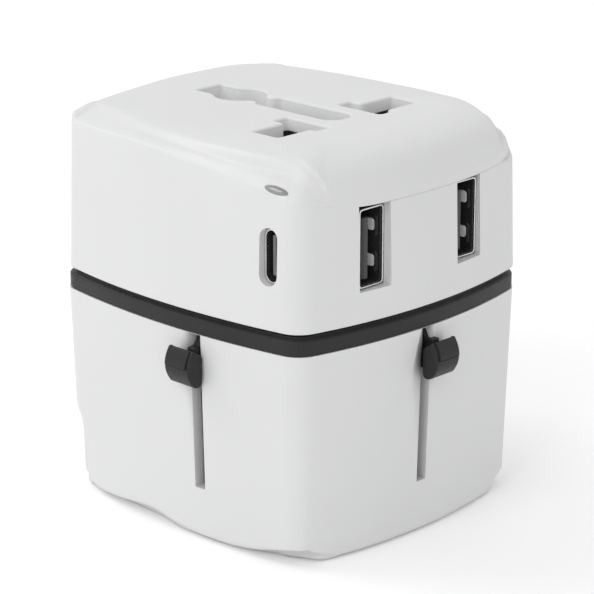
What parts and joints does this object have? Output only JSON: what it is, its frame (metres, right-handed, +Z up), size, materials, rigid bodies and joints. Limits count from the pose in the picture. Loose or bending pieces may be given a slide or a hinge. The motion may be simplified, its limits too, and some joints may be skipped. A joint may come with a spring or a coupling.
{
  "type": "universal travel adapter",
  "caption": "Boxy travel plug adapter: universal socket and USB charging ports above a belt ring, slide-out plug pins worked by side knobs below.",
  "frame": {"origin": "centre of the underside of the foot, on the standing plane, midway between the bowed side faces and the bowed front and back faces", "axes": "+Z up out of the socket face; -Y is the face with the two upright USB-A ports; -X is the face with the USB-C port; plug pins slide out along -Z"},
  "size_m": [0.0621, 0.0691, 0.0673],
  "materials": {
    "white_shell": "satin white moulded plastic",
    "black_trim": "semi-gloss black plastic",
    "dark_insulator": "matt dark moulded plastic",
    "shutter_plastic": "matt dark plastic",
    "contact_brass": "stamped brass",
    "spring_steel": "drawn wire",
    "port_steel": "nickel-plated sheet steel",
    "port_plastic": "black moulded plastic",
    "gold_contact": "gold-plated",
    "circuit_board": "green solder mask",
    "led_diffuser": "milky light pipe",
    "led_die": "small lamp package",
    "ferrite": "dark ferrite",
    "winding_wire": "enamelled winding under tape",
    "capacitor_sleeve": "shrink sleeve",
    "fuse_ceramic": "white ceramic",
    "fuse_metal": "nickel-plated",
    "screw_steel": "zinc-plated",
    "carriage_plastic": "matt dark plastic",
    "pin_brass": "bright brass",
    "pin_nickel": "nickel-plated brass"
  },
  "bodies": {
    "housing": {"top_cover": "white_shell", "socket_collar": "dark_insulator", "upper_housing": "white_shell", "belt_ring": "black_trim", "lower_shell": "white_shell", "base_plate": "white_shell", "mid_deck": "dark_insulator", "socket_block": "dark_insulator", "line_contact": "contact_brass", "neutral_contact": "contact_brass", "earth_contact": "contact_brass", "line_bus": "contact_brass", "neutral_bus": "contact_brass", "earth_bus": "contact_brass", "shutter_spring": "spring_steel", "usb_a_shell_left": "port_steel", "usb_a_tongue_left": "port_plastic", "usb_a_contacts_left": "gold_contact", "usb_a_shell_right": "port_steel", "usb_a_tongue_right": "port_plastic", "usb_a_contacts_right": "gold_contact", "usb_c_shell": "port_steel", "usb_c_tongue": "port_plastic", "usb_c_board": "circuit_board", "led_lens": "led_diffuser", "indicator_led": "led_die", "charger_board": "circuit_board", "transformer_core": "ferrite", "transformer_winding": "winding_wire", "bulk_capacitor": "capacitor_sleeve", "choke": "ferrite", "fuse_body": "fuse_ceramic", "fuse_caps": "fuse_metal", "fuse_clips": "fuse_metal", "case_screws": "screw_steel"},
    "shutter": {"safety_shutter": "shutter_plastic"},
    "uk_plug": {"uk_carriage": "carriage_plastic", "uk_line_pin": "pin_brass", "uk_neutral_pin": "pin_brass", "uk_earth_pin": "pin_brass", "uk_knob": "black_trim"},
    "eu_plug": {"eu_carriage": "carriage_plastic", "eu_pin_left": "pin_nickel", "eu_pin_right": "pin_nickel", "eu_knob": "black_trim"},
    "us_plug": {"us_carriage": "carriage_plastic", "us_knob": "black_trim"},
    "us_left": {"us_blade_left": "pin_nickel"},
    "us_right": {"us_blade_right": "pin_nickel"}
  },
  "joints": [
    {"name": "shutter_slide", "type": "slide", "parent": "housing", "child": "shutter", "axis": [0, -1, 0], "range_m": [0, 0.0088], "stiffness_N_per_m": 120, "springref_m": -0.002, "deforming": ["shutter_spring"]},
    {"name": "uk_slide", "type": "slide", "parent": "housing", "child": "uk_plug", "axis": [0, 0, -1], "range_m": [0, 0.019]},
    {"name": "eu_slide", "type": "slide", "parent": "housing", "child": "eu_plug", "axis": [0, 0, -1], "range_m": [0, 0.019]},
    {"name": "us_slide", "type": "slide", "parent": "housing", "child": "us_plug", "axis": [0, 0, -1], "range_m": [0, 0.019]},
    {"name": "blade_turn_left", "type": "hinge", "parent": "us_plug", "child": "us_left", "pos_m": [-0.00635, 0.0002, 0.024], "axis": [0, 0, 1], "range_deg": [-30, 0]},
    {"name": "blade_turn_right", "type": "hinge", "parent": "us_plug", "child": "us_right", "pos_m": [0.00635, 0.0002, 0.024], "axis": [0, 0, 1], "range_deg": [0, 30]}
  ]
}
